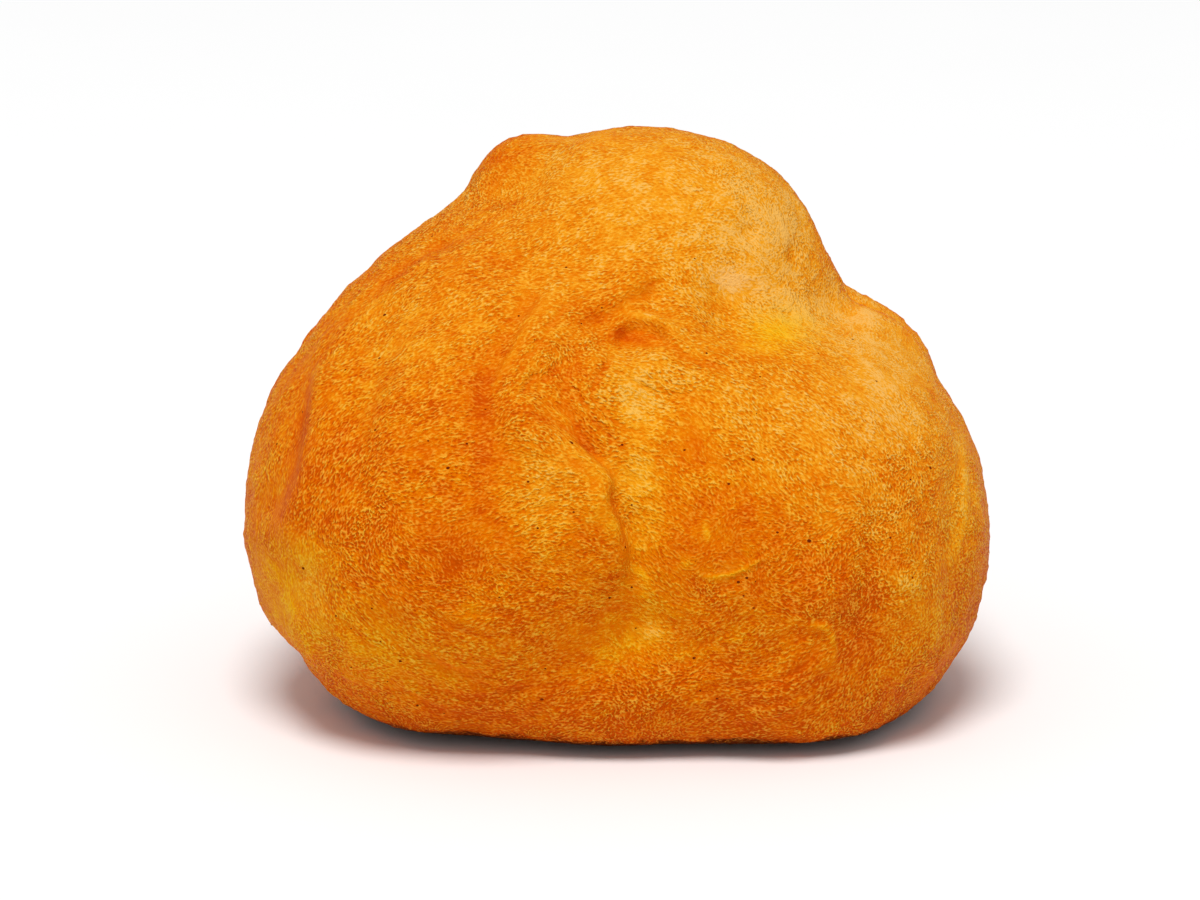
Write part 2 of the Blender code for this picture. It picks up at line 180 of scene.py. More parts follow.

# Patches: azimuth, centre, half sizes (across, up), lean in degrees, depth, how much more toasted
# they are (in some, partly painted shade where darker and painted light where paler) and how much of
# the crinkle they lose.
PATCHES = {
    "nub": (FRONT, (-9.4, 27.2), (3.4, 3.2), 0, 0, 0.12, 0.3),
    "crown": (FRONT, (4.5, 24.8), (12.5, 7.0), -10, 0, -0.28, 0.3),
    "crown_right": (FRONT, (16.5, 21.0), (5.0, 5.5), 0, 0, -0.30, 0.3),
    "right_shoulder": (FRONT, (28.0, 9.0), (6.5, 6.0), -40, 0, -0.20, 0.5),
    # Paler at the right rim: painted rim light.
    "right_edge": (FRONT, (34.0, -4.0), (4.0, 9.0), 0, 0, -0.17, 0.1),
    "left_brow": (FRONT, (-15.2, 11.4), (7.0, 4.5), 40, 0, -0.11, 0),
    "brow_pale": (FRONT, (-6.0, 14.5), (3.2, 6.5), -20, 0, -0.14, 0),
    "arc_right": (FRONT, (13.4, 4.9), (3.2, 3.0), 0, 0, -0.14, 0),
    "hollow_right": (FRONT, (20.4, 15.0), (3.0, 4.5), 0, 0, -0.11, 0),
    "under_cheek_low": (FRONT, (-12.8, -22.0), (5.0, 2.2), 0, 0, -0.10, 0),
    "left_cheek": (FRONT, (-20.0, -2.0), (8.0, 9.0), 0, 0, 0.07, 0),
    "under_cheek": (FRONT, (-14.2, -18.0), (7.0, 4.0), 0, 0, -0.16, 0),
    "bottom_right": (FRONT, (20.8, -25.6), (6.0, 2.6), 0, 0, -0.14, 0),
    "right_low": (FRONT, (30.4, -15.6), (3.6, 7.0), 15, 0, -0.19, 0),
    "right_foot_pale": (FRONT, (26.5, -21.3), (3.0, 3.0), 0, 0, -0.13, 0),
    # Darker where the cheek faces away from the light: painted shade.
    "left_body": (FRONT, (-25.6, 1.9), (4.0, 4.0), 0, 0, 0.06, 0),
    "crown_middle": (FRONT, (1.9, 21.8), (4.0, 3.0), 0, 0, 0.09, 0),
    "crown_dimple": (FRONT, (14.2, 20.7), (0.9, 0.8), 0, 0.30, 0.12, 0),
    "crown_pit": (FRONT, (18.4, 18.8), (0.9, 1.1), 0, 0.30, 0.10, 0),
    "shoulder_pit": (FRONT, (-15.0, 19.4), (1.0, 0.5), 10, 0.25, 0.16, 0),
    "pale_hollow": (FRONT, (17.0, 13.6), (8.5, 3.2), -12, 0, -0.26, 0.1),
    "yellow_hollow": (FRONT, (16.6, 11.2), (3.4, 1.8), 0, 0, -0.20, 0.2),
    "pale_bubbles": (FRONT, (12.6, 16.2), (2.6, 1.3), -30, -0.15, -0.20, 0.3),
    "pale_bubble_right": (FRONT, (25.1, 12.6), (1.2, 0.8), -20, -0.20, -0.22, 0.5),
    # Painted shade: a more toasted crescent under the arc's lip, over a real recess.
    "arc_shade": (FRONT, (3.3, 10.7), (2.8, 1.05), -12, 0.30, 0.31, 0.8),
    # A painted highlight: a paler thin rim along the arc's lip.
    "arc_rim": (FRONT, (4.0, 12.7), (2.8, 0.30), -8, -0.10, -0.14, 0.5),
    "valley_top": (FRONT, (5.0, 6.6), (5.0, 4.6), 0, 0, -0.27, -0.3),
    "valley_stripe": (FRONT, (4.0, -3.5), (1.7, 8.5), 5, 0, -0.20, 0),
    "valley_orange": (FRONT, (8.6, 0.8), (3.0, 3.4), 20, 0, 0.09, 0.4),
    # Deeper orange on the slope that faces away from the light: partly painted shade.
    "valley_deep": (FRONT, (11.0, -8.0), (6.2, 4.4), 0, 0, 0.12, 0.6),
    "right_cheek": (FRONT, (19.0, -12.5), (8.0, 6.5), 0, 0, 0.14, 0.1),
    "right_brown": (FRONT, (25.6, -17.0), (2.4, 5.5), 0, 0, 0.20, 0.2),
    "right_pale": (FRONT, (24.0, 3.0), (8.0, 7.5), 0, 0, -0.20, 0),
    # Painted shade: darker colour down the long groove.
    "groove_shade": (FRONT, (-10.7, -0.6), (1.8, 6.2), 0, 0, 0.26, 0.3),
    "left_deep": (FRONT, (-14.2, -8.8), (5.0, 4.5), 0, 0, 0.15, 0.4),
    # Paler where the cheek faces the light: painted light.
    "centre_painted_light": (FRONT, (-3.6, -2.6), (4.2, 4.8), -30, 0, -0.16, 0),
    "left_waist_pale": (FRONT, (-29.6, -13.6), (3.6, 4.8), 20, 0.15, -0.22, 0.5),
    "left_waist_top": (FRONT, (-27.2, -10.6), (2.8, 2.4), 0, 0, -0.22, 0.2),
    "left_waist_pit": (FRONT, (-28.6, -11.8), (1.0, 0.7), 20, 0.30, 0.14, 0),
    "waist_pale": (FRONT, (2.4, -18.0), (4.4, 3.2), 15, 0, -0.20, 0.55),
    "waist_low": (FRONT, (1.4, -19.9), (2.4, 1.1), 20, 0, -0.10, 0),
    "waist_fleck": (FRONT, (5.0, -17.4), (1.2, 0.6), 0, -0.18, -0.24, 0),
    "waist_bright": (FRONT, (4.6, -17.6), (2.2, 1.2), 10, 0, -0.10, 0),
    "right_fleck": (FRONT, (29.3, -12.4), (1.3, 0.8), 20, -0.15, -0.22, 0),
    "fleck_1": (FRONT, (4.5, -3.1), (1.2, 0.35), -45, -0.10, -0.22, 0),
    "fleck_2": (FRONT, (3.9, -11.6), (1.1, 0.35), -45, -0.12, -0.34, 0),
    "fleck_3": (FRONT, (10.1, -7.7), (0.35, 1.1), 15, -0.10, -0.30, 0),
    "fleck_4": (FRONT, (8.3, -10.8), (0.9, 0.35), 20, -0.10, -0.30, 0),
    "fleck_5": (FRONT, (6.6, 3.6), (1.3, 0.4), -30, -0.10, -0.12, 0),
    "fleck_6": (FRONT, (2.9, 3.8), (1.2, 0.4), -20, -0.10, -0.12, 0),
    "left_low_pale": (FRONT, (-23.5, -18.6), (8.0, 4.0), -25, 0, -0.30, 0),
    "right_notch": (FRONT_RIGHT, (17.5, 10.4), (5.0, 2.8), -18, -1.00, 0, 0),
    "right_foot": (FRONT_RIGHT, (6.5, -28.6), (8.0, 2.8), 0, 0.75, 0, 0),
    "left_waist": (FRONT_LEFT, (-4.5, -25.3), (6.0, 1.7), 0, 1.00, 0, 0),
    "left_shoulder": (FRONT_LEFT, (-15.4, 12.3), (4.0, 2.0), 10, 0.55, 0, 0),
    "back_pale": (BACK, (-14, -15), (7.5, 4.0), 15, 0, -0.20, 0.3),
    "back_toasted": (BACK, (12, 6), (8.0, 7.0), 0, 0, 0.12, 0),
    "right_side_pale": (RIGHT, (6, -16), (6.5, 3.5), -10, 0, -0.20, 0.3),
    "left_side_pale": (LEFT, (-3, -16), (6.0, 3.6), 10, 0, -0.20, 0.3),
}

# Where the pale colours are creamier (above 0) or yellower: azimuth, centre, half sizes, lean, how much.
CREAMY = {
    "yellow_hollow": (FRONT, (16.6, 11.0), (4.2, 2.4), 0, -1.00),
    "left_waist": (FRONT, (-30.5, -13.5), (5.0, 5.0), 0, -0.4),
    "left_waist_folds": (FRONT, (-27.3, -13.5), (1.6, 3.6), 15, 0.7),
    "right_edge": (FRONT, (34.0, -4.0), (4.0, 9.0), 0, -0.10),
    "centre": (FRONT, (-5.0, -3.0), (5.5, 8.0), 0, 0.45),
    "right_body": (FRONT, (25.0, -2.0), (9.0, 9.0), 0, 0.45),
    "right_low": (FRONT, (28.0, -15.0), (7.0, 8.0), 0, 0.45),
    "pale_bubbles": (FRONT, (12.6, 16.2), (2.6, 1.6), -30, 0.30),
    "waist_fleck": (FRONT, (5.0, -17.0), (1.8, 1.0), 0, 0.8),
}

# Flows: azimuth, centre, reach and slope in degrees. The crinkles run level, rising or falling to
# the right by the slopes of the flows near them.
FLOWS = {
    "left_shoulder": (FRONT, (-21.0, 9.0), 7.0, 40),
    "left_rim": (FRONT, (-27.0, -2.0), 5.0, 65),
    "brow": (FRONT, (-11.0, 14.0), 6.0, 22),
    "above_arc": (FRONT, (-1.0, 17.0), 5.0, 20),
    "left_cheek": (FRONT, (-14.0, 0.0), 7.0, 4),
    "cheek_edge": (FRONT, (-4.0, -6.0), 5.0, 14),
    "cheek_rays": (FRONT, (-3.0, 3.0), 3.5, -48),
    "under_cheek_left": (FRONT, (-20.0, -15.0), 5.0, -40),
    "under_cheek": (FRONT, (-12.0, -21.0), 6.0, -8),
    "under_cheek_right": (FRONT, (-4.0, -19.0), 5.0, 24),
    "valley_top": (FRONT, (5.0, 7.0), 4.5, -22),
    "valley": (FRONT, (5.0, -3.0), 4.5, -32),
    "waist": (FRONT, (4.0, -13.0), 4.0, -38),
    "right_of_arc": (FRONT, (12.0, 8.0), 6.0, -26),
    "right_cheek": (FRONT, (20.0, 1.0), 7.0, -38),
    "right_low": (FRONT, (14.0, -22.0), 6.0, 2),
    "right_curl": (FRONT, (21.0, -20.0), 4.0, 50),
    "crown": (FRONT, (3.0, 24.0), 8.0, 4),
    "right_side_low": (RIGHT, (-6.0, -12.0), 8.0, -25),
    "right_side_high": (RIGHT, (6.0, 4.0), 9.0, 20),
    "back_left": (BACK, (-13.0, 2.0), 9.0, 30),
    "back_right": (BACK, (13.0, 2.0), 9.0, -30),
    "back_low": (BACK, (0.0, -16.0), 9.0, 5),
    "left_side_high": (LEFT, (-6.0, 6.0), 9.0, -30),
    "left_side_low": (LEFT, (6.0, -12.0), 8.0, 20),
}
WANDER = 0.35  # how far the crinkles stray from their flows
WANDER_WIDE, WANDER_SEEDS = 2.5, (71, 72, 73)  # mm, and a seed for each axis
STRAY = 0.12  # where the flows are weaker than this, the crinkles have no way

# Pinpricks that show at the front: (right, up) as the eye sees them, and diameter.
PINPRICKS = [
    (-20.4, 12.8, 0.32), (-20.9, 8.7, 0.24), (-24.1, 7.6, 0.22), (-7.7, 12.7, 0.22), (-3.2, 17.3, 0.24),
    (-2.7, 0.7, 0.40), (-12.6, 0.6, 0.26), (-14.4, -1.7, 0.34), (-6.8, -3.0, 0.26), (2.1, 0.5, 0.26),
    (3.0, -5.2, 0.22), (2.4, -9.2, 0.26), (3.0, -13.0, 0.24), (0.9, -14.0, 0.30), (8.0, 0.0, 0.24),
    (14.5, -0.9, 0.36), (12.2, -3.2, 0.28), (16.8, -7.8, 0.26), (19.8, -8.6, 0.42), (13.1, -12.5, 0.32),
    (13.9, -12.1, 0.30), (13.6, -13.8, 0.22), (8.9, -19.7, 0.32), (9.5, -22.8, 0.22), (31.3, -1.7, 0.30),
    (29.4, -2.8, 0.22), (29.6, -12.1, 0.20), (-28.1, -11.2, 0.36), (-25.0, -15.7, 0.24),
    (-21.6, -15.0, 0.26), (-18.9, -20.0, 0.30), (-17.3, -24.2, 0.28), (-5.5, -23.6, 0.34),
    (-5.2, -20.7, 0.22), (-5.9, -7.4, 0.22),
]
SMALLEST_PINPRICK = 0.35  # share of the largest
PINPRICK_FLATNESS, PINPRICK_NARROWNESS = 0.35, 0.75  # thickness and breadth, in shares of the length

# ---------------------------------------------------------------- how toasted, with painted light and shade, 0 pale to 1 dark brown
PLAIN_TOAST = 0.48
BLOTCHES = [(13.0, 0.07, 41), (5.0, 0.05, 42)]  # how wide, mm, how much more toasted, and seed
LOW_TOAST_AND_SHADE, LOW_FADES = 0.16, (0.05, 0.45)  # near the base, partly painted shade, fading between these shares of the height
TOP_PAINTED_LIGHT = -0.10  # painted light at the top, growing with the height
HOLLOW_TOAST = -0.10  # for each mm that a place lies below the broad form
RIM_TOAST, RIM_FADES = 0.75, (0.3, 2.6)  # at the edge of the base, fading between these heights, mm
RAGGED_RIM = [(2.5, 0.5, 43)]  # how wide and high its waves are, mm, and seed
UNDERSIDE_TOAST, UNDERSIDE_FADES = -0.12, (0.3, 1.0)  # inside that edge, fading between these heights, mm
UNDERSIDE_FACES = (0.7, 0.95)  # how far the skin faces down there
TOAST_STOPS = {"cream": 0.0, "yellow": 0.16, "golden": 0.40, "orange": 0.62, "brown": 0.80, "dark": 1.0}

# How creamy the pale colours are: at least, how much more, between which shares of the height, and
# by how much the right side counts as higher than the middle. The rise with height and to the right is
# a painted sheen.
LEAST_CREAM, MORE_CREAM_SHEEN, SHEEN_RISES, SHEEN_TO_RIGHT = 0.15, 0.95, (0.25, 0.80), 0.12

# ---------------------------------------------------------------- crust mesh
HEART_SHARE = 0.36  # how high up the bun the point lies that sees every bit of its skin
FINER_TOWARDS = (0.0, -0.22, 0.16)  # quads are smaller on this side of the bun, and larger opposite
MERGE = 1e-6  # m
RELAX_ROUNDS = 26  # takes the solid's facets out
BROAD_ROUNDS = 160  # the form without its hollows, to tell how hollow a place is
BASE_BELOW = 0.15  # mm, what counts as the flat underside
FADE_BELOW = 2.0  # mm above the table, below which marks and crinkles fade out
LATTICE = 32  # random values along each side of the block that lumps are read from


def ease(value, low, high):
    """0 below low, 1 above high and smooth between."""
    share = np.clip((value - low) / (high - low), 0.0, 1.0)
    return share * share * (3 - 2 * share)


def eye(azimuth):
    """Where the eye is, and the unit directions right, up and ahead of it."""
    rise, walk = math.radians(EYE_ELEVATION), math.radians(azimuth)
    level = np.array([-math.sin(walk), math.cos(walk), 0.0])
    ahead = level * math.cos(rise) + np.array([0.0, 0.0, -math.sin(rise)])
    right = np.array([math.cos(walk), math.sin(walk), 0.0])
    place = np.array(LOOKED_AT) - ahead * EYE_DISTANCE
    return place, right, np.cross(right, ahead), ahead


def seen(points, normals, azimuth):
    """(right, up) of the points as the eye sees them, and how much of a mark each takes."""
    place, right, up, ahead = eye(azimuth)
    away = points - place
    spread = EYE_DISTANCE / (away @ ahead)
    view = np.stack([(away @ right) * spread, (away @ up) * spread], 1)
    return view, ease(-(normals @ ahead), 0.0, FULLY_FACING)


def smooth_line(stops, pieces=6):
    """Points on a smooth curve through the stops."""
    ends = [2 * np.array(stops[0]) - stops[1], *map(np.array, stops), 2 * np.array(stops[-1]) - stops[-2]]
    line = []
    for before, start, stop, after in zip(ends, ends[1:], ends[2:], ends[3:]):
        for t in np.arange(pieces) / pieces:
            line.append(
                start
                + 0.5 * t * (stop - before)
                + t**2 * (before - 2.5 * start + 2 * stop - 0.5 * after)
                + 0.5 * t**3 * (-before + 3 * start - 3 * stop + after)
            )
    return np.array([*line, ends[-2]], float)


def beside(view, stops):
    """How far each seen point is from a curve, positive to its left, and how far along, 0 to 1."""
    line = smooth_line(stops)
    nearest = np.full(len(view), np.inf)
    side = np.ones(len(view))
    along = np.zeros(len(view))
    last = len(line) - 1
    for n, (start, stop) in enumerate(zip(line, line[1:])):
        run = stop - start
        share = np.clip((view - start) @ run / (run @ run), 0, 1)
        gap = view - start - share[:, None] * run
        distance = np.linalg.norm(gap, axis=1)
        closer = distance < nearest
        nearest[closer] = distance[closer]
        side[closer] = np.sign(run[0] * gap[:, 1] - run[1] * gap[:, 0])[closer]
        along[closer] = ((n + share) / last)[closer]
    return nearest * side, along


def tapered(along, share=0.25):
    """Fades a mark in and out over that share of its length at each end."""
    return ease(along, 0.0, share) * ease(1 - along, 0.0, share)


def blob(view, centre, half_sizes, lean):
    """1 at the centre of a leaning oval and fading out round it."""
    turn = math.radians(lean)
    away = view - np.array(centre)
    across = away[:, 0] * math.cos(turn) + away[:, 1] * math.sin(turn)
    up = -away[:, 0] * math.sin(turn) + away[:, 1] * math.cos(turn)
    return np.exp(-((across / half_sizes[0]) ** 2) - (up / half_sizes[1]) ** 2)


def lumpiness(points, size, seed):
    """Smooth random values from -1 to 1, in lumps of about that size."""
    lattice = np.random.default_rng(seed).uniform(-1, 1, (LATTICE, LATTICE, LATTICE))
    place = points / size
    cell = np.floor(place).astype(int)
    share = place - cell
    share = share * share * (3 - 2 * share)
    value = np.zeros(len(points))
    for corner in np.ndindex(2, 2, 2):
        weight = np.prod(np.where(corner, share, 1 - share), axis=1)
        x, y, z = ((cell + corner) % LATTICE).T
        value += weight * lattice[x, y, z]
    return value


def lumps(points, kinds):
    """All kinds of lumps together, each of its own width and height."""
    return sum(high * lumpiness(points, wide, seed) for wide, high, seed in kinds)


def fine_ball(quads):
    """A closed ball of six patches of quads, and the unit direction of each of its points."""
    ball = bmesh.new()
    bmesh.ops.create_cube(ball, size=2.0)
    bmesh.ops.subdivide_edges(ball, edges=ball.edges[:], cuts=quads - 1, use_grid_fill=True)
    mesh = bpy.data.meshes.new("crust")
    ball.to_mesh(mesh)
    ball.free()
    corners = read(mesh.vertices, "co", 3)
    spread = np.tan(corners * math.pi / 4)
    spread /= np.linalg.norm(spread, axis=1)[:, None]
    spread += FINER_TOWARDS
    return mesh, spread / np.linalg.norm(spread, axis=1)[:, None]


def read(items, name, width):
    """A property of all the items, as rows of that width."""
    values = np.empty(len(items) * width)
    items.foreach_get(name, values)
    return values.reshape(-1, width)


def frame_skin():
    """The faces of the frame's solid, ready to be met by rays."""
    solid = bmesh.new()
    solid.from_mesh(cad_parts[NODE].data)
    bmesh.ops.remove_doubles(solid, verts=solid.verts[:], dist=MERGE)
    skin = BVHTree.FromBMesh(solid)
    solid.free()
    return skin


def laid_on_frame(directions):
    """Where rays from the bun's heart meet the frame's solid, in mm."""
    skin = frame_skin()
    heart = Vector((0.0, 0.0, HEART_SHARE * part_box(NODE)[1].z))
    hits = [skin.ray_cast(heart, Vector(way))[0] for way in directions]
    if None in hits:
        raise RuntimeError("a ray from the heart of the bun misses its solid")
    return np.array(hits) / MM


def relaxed(points, edges, rounds):
    """The points drawn towards their neighbours' middles, with the flat underside kept flat."""
    first, second = edges.T
    neighbours = np.bincount(edges.ravel(), minlength=len(points))
    base = points[:, 2] < BASE_BELOW
    for _ in range(rounds):
        drawn = np.empty_like(points)
        for axis in range(3):
            drawn[:, axis] = np.bincount(first, points[second, axis], len(points))
            drawn[:, axis] += np.bincount(second, points[first, axis], len(points))
        points = (points + drawn / neighbours[:, None]) / 2
        points[base, 2] = 0.0
    return points


def shaped(mesh, points):
    """Gives the mesh these points, in mm, and returns their normals."""
    mesh.vertices.foreach_set("co", (points * MM).ravel())
    mesh.update()
    return read(mesh.vertex_normals, "vector", 3)


def beside_creases(points, normals):
    """For every crease, half widths across it to each point and how much of the crease each takes."""
    gaps = []
    for azimuth, half_width, _, _, stops in CREASES.values():
        view, takes = seen(points, normals, azimuth)
        across, along = beside(view, stops)
        gaps.append((across / half_width, takes * tapered(along)))
    return gaps


def carved(points, normals, gaps):
    """How far the fine marks move the skin, how toasted they leave it, with painted shade in creases and
    painted light and shade in some patches, and how crinkled.
    """
    move = lumps(points, LUMPS)
    toast_and_shading = np.zeros(len(points))
    crinkle = np.ones(len(points))
    for (_, _, depth, toasted, _), (across, takes) in zip(CREASES.values(), gaps):
        share = np.exp(-(across**2)) * takes
        move -= depth * share
        # Painted shade: a crease's colour is darker where shade falls in it, and a raised one's paler, a
        # painted highlight.
        toast_and_shading += toasted * np.exp(-(across**2) / 2) * takes
        crinkle *= 1 - CREASE_SMOOTHS * share
    for azimuth, edge, reach, height, stops in OVERLAPS.values():
        view, takes = seen(points, normals, azimuth)
        across, along = beside(view, stops)
        takes = takes * tapered(along)
        move += height * np.tanh(across / edge) * np.exp(-((across / reach) ** 2)) * takes
        crinkle *= 1 - CREASE_SMOOTHS * np.exp(-((across / edge) ** 2)) * takes
    for azimuth, centre, half_sizes, lean, depth, toasted, smoothed in PATCHES.values():
        view, takes = seen(points, normals, azimuth)
        share = blob(view, centre, half_sizes, lean) * takes
        move -= depth * share
        # In some patches this toast is partly painted shade, in others painted light.
        toast_and_shading += toasted * share
        crinkle *= 1 - smoothed * share
    return move, toast_and_shading, crinkle


def drawn_lines(gaps):
    """Half widths from each point to the nearest crease of each layer, and how strong its line is."""
    gap = np.full((len(gaps[0][0]), LAYERS), DRAWN_TO[1])
    strength = np.zeros_like(gap)
    for place, ((_, half_width, depth, _, _), (across, takes)) in enumerate(zip(CREASES.values(), gaps)):
        layer = place % LAYERS
        nearer = (np.abs(across) < np.abs(gap[:, layer])) & (takes > 0)
        gap[nearer, layer] = across[nearer]
        fading = takes * (1 - ease(np.abs(across), *DRAWN_TO))
        sharpness = min(1.0, SHARP_WIDTH / half_width)
        strength[nearer, layer] = (depth / FULL_DEPTH * sharpness * fading)[nearer]
    return gap, strength


def stretch_ways(points, normals):
    """The way that the crinkles run at each point, by the slopes of the flows near it."""
    ways = np.zeros_like(points)
    for azimuth, centre, reach, slope in FLOWS.values():
        view, takes = seen(points, normals, azimuth)
        _, right, up, _ = eye(azimuth)
        rise = math.radians(slope)
        weight = takes * np.exp(-(((view - np.array(centre)) / reach) ** 2).sum(1))
        ways += weight[:, None] * (right * math.cos(rise) + up * math.sin(rise))
    ways += WANDER * np.stack([lumpiness(points, WANDER_WIDE, seed) for seed in WANDER_SEEDS], 1)
    ways -= normals * (ways * normals).sum(1)[:, None]
    return ways / (np.linalg.norm(ways, axis=1)[:, None] + STRAY)


def toasting_and_shading(points, normals, hollow, marks):
    """How toasted the crust is, from 0, pale, to 1, dark brown, with painted light at the top and painted
    shade in the creases and near the base.
    """
    height = points[:, 2] / points[:, 2].max()
    low = 1 - ease(height, *LOW_FADES)
    rim = 1 - ease(points[:, 2] + lumps(points, RAGGED_RIM), *RIM_FADES)
    underside = ease(-normals[:, 2], *UNDERSIDE_FACES) * (1 - ease(points[:, 2], *UNDERSIDE_FADES))
    toast_and_shading = PLAIN_TOAST + lumps(points, BLOTCHES) + marks
    # Painted light pales the top, and near the base painted shade adds to the toasting.
    toast_and_shading = toast_and_shading + LOW_TOAST_AND_SHADE * low + TOP_PAINTED_LIGHT * height + HOLLOW_TOAST * hollow
    return toast_and_shading + RIM_TOAST * rim + UNDERSIDE_TOAST * underside


def cream_and_sheen(points, normals):
    """How much of the pale colours' cream shows: little near the base, more towards the top and right, where
    the rise is a painted sheen.
    """
    height = points[:, 2] / points[:, 2].max()
    to_right = points[:, 0] / points[:, 0].max()
    # Painted sheen: more cream towards the top and right, where the light's reflection falls.
    creamy_with_sheen = LEAST_CREAM + MORE_CREAM_SHEEN * ease(height + SHEEN_TO_RIGHT * to_right, *SHEEN_RISES)
    for azimuth, centre, half_sizes, lean, more in CREAMY.values():
        view, takes = seen(points, normals, azimuth)
        creamy_with_sheen += more * blob(view, centre, half_sizes, lean) * takes
    return np.maximum(creamy_with_sheen, 0.0)


def keep(mesh, name, values):
    """Stores one value or one vector for each point of the mesh."""
    kind, field = ("FLOAT_VECTOR", "vector") if values.ndim == 2 else ("FLOAT", "value")
    mesh.attributes.new(name, kind, "POINT").data.foreach_set(field, values.astype(np.float32).ravel())


# ---------------------------------------------------------------- node trees
SWAY = 1.3  # how far a fold sways to its sides, in its own widths
SWAYS = 0.4  # sways in a stretch as long as a fold is wide
FOLD_DETAIL = 0.6  # octaves of finer folds on a fold
NOISE_SPREAD = 0.35  # how far one sample of the noise strays from its middle
STREAK_SAMPLES, GRAIN_SAMPLES, GRAIN_SEED = 7, 4, 3.0
SMOOTH_BETWEEN = 0.55  # how much of the fine grain is left between two crinkles
GRAIN_BROWNEST = 0.80  # the most toasted that the fine grain alone makes a place, its painted shade included
HIGHLIGHT_FROM, HIGHLIGHT_AT = 0.45, 1.0  # how high on a fold its painted highlight starts, and where it is full
MOTTLE_WIDE, PATCHES_WIDE, PORES_WIDE, SPECKS_WIDE = 2.0 * MM, 3.5 * MM, 0.16 * MM, 0.5 * MM
PORE_DEPTH = 0.012 * MM
LEAST_GRAIN, PATCHY_FROM, PATCHY_AT = 0.6, 0.36, 0.58  # share of the grain that the noise leaves at least,
# and between which values of the noise it comes back
FLOOR_MOTTLE_WIDE, FLOOR_MOTTLE = 50 * MM, 0.01  # and how much darker its darkest places are


def add(tree, kind, sockets=None, **settings):
    """Adds a node with these settings. A socket is set to a value, or linked if it is given a socket."""
    node = tree.nodes.new(kind)
    for name, value in settings.items():
        setattr(node, name, value)
    for name, value in (sockets or {}).items():
        if isinstance(value, bpy.types.NodeSocket):
            tree.links.new(value, node.inputs[name])
        else:
            node.inputs[name].default_value = value
    return node


def math_of(tree, operation, *values):
    """The result of a Math node on values or sockets."""
    return add(tree, "ShaderNodeMath", dict(enumerate(values)), operation=operation).outputs[0]


def vector_of(tree, operation, *values):
    """The result of a Vector Math node on vectors or sockets."""
    return add(tree, "ShaderNodeVectorMath", dict(enumerate(values)), operation=operation).outputs[0]


def product(tree, value, *others):
    """The product of values or sockets."""
    for other in others:
        value = math_of(tree, "MULTIPLY", value, other)
    return value


def scaled(tree, vector, scale):
    """A vector made longer or shorter."""
    return add(tree, "ShaderNodeVectorMath", {"Vector": vector, "Scale": scale}, operation="SCALE").outputs[0]


def noise_of(tree, place, width, detail=2.0):
    """Noise from 0 to 1 in spots of about that width."""
    return add(tree, "ShaderNodeTexNoise", {"Vector": place, "Scale": 1 / width, "Detail": detail}).outputs[0]


def rescaled(tree, value, start, stop, low=0.0, high=1.0, **settings):
    """How far a value is from start to stop, as a number from low to high."""
    sockets = {"Value": value, "From Min": start, "From Max": stop, "To Min": low, "To Max": high}
    return add(tree, "ShaderNodeMapRange", sockets, **settings).outputs[0]


def crinkles(tree, place, way, width, length, seed, samples):
    """How high a place is, 0 to 1, on wavy folds of that width and length along the way."""
    sways = add(tree, "ShaderNodeTexNoise", {"Vector": place, "Scale": math_of(tree, "DIVIDE", SWAYS, width)})
    aside = vector_of(tree, "SUBTRACT", sways.outputs["Color"], (0.5, 0.5, 0.5))
    place = vector_of(tree, "ADD", place, scaled(tree, aside, math_of(tree, "MULTIPLY", width, SWAY)))
    total = 0.0
    for n in range(samples):
        step = scaled(tree, way, math_of(tree, "MULTIPLY", length, n / (samples - 1) - 0.5))
        noise = add(tree, "ShaderNodeTexNoise", {
            "Vector": vector_of(tree, "ADD", place, step),
            "W": seed,
            "Scale": math_of(tree, "DIVIDE", 1.0, width),
            "Detail": FOLD_DETAIL,
        }, noise_dimensions="4D")
        total = math_of(tree, "ADD", total, noise.outputs[0])
    share = math_of(tree, "DIVIDE", total, samples)
    spread = NOISE_SPREAD / math.sqrt(samples)
    return rescaled(tree, share, 0.5 - spread, 0.5 + spread)


def attribute(tree, name, vector=False):
    """A value stored for each point, read in a Geometry Nodes tree."""
    kind = "FLOAT_VECTOR" if vector else "FLOAT"
    return add(tree, "GeometryNodeInputNamedAttribute", {"Name": name}, data_type=kind).outputs[0]


def new_tree(name, inputs):
    """A Geometry Nodes tree with a mesh in and out and these named inputs, and its Group Input."""
    tree = bpy.data.node_groups.new(name, "GeometryNodeTree")
    tree.interface.new_socket("Geometry", in_out="INPUT", socket_type="NodeSocketGeometry")
    for label, kind in inputs.items():
        tree.interface.new_socket(label, in_out="INPUT", socket_type=kind)
    tree.interface.new_socket("Geometry", in_out="OUTPUT", socket_type="NodeSocketGeometry")
    return tree, tree.nodes.new("NodeGroupInput").outputs


def close_tree(tree, geometry, material):
    """Ends a tree in Realize Instances and Set Material."""
    real = add(tree, "GeometryNodeRealizeInstances", {"Geometry": geometry})
    dressed = add(tree, "GeometryNodeSetMaterial", {"Geometry": real.outputs[0], "Material": material})
    end = tree.nodes.new("NodeGroupOutput")
    tree.links.new(dressed.outputs[0], end.inputs[0])


def baked(piece, tree, values):
    """Runs the tree on the piece with these inputs and leaves the result as its plain mesh."""
    modifier = piece.modifiers.new(tree.name, "NODES")
    modifier.node_group = tree
    for item in tree.interface.items_tree:
        if item.in_out == "INPUT" and item.name in values:
            modifier[item.identifier] = values[item.name]
    graph = bpy.context.evaluated_depsgraph_get()
    mesh = bpy.data.meshes.new_from_object(piece.evaluated_get(graph), depsgraph=graph)
    piece.modifiers.remove(modifier)
    piece.data = mesh
    return piece


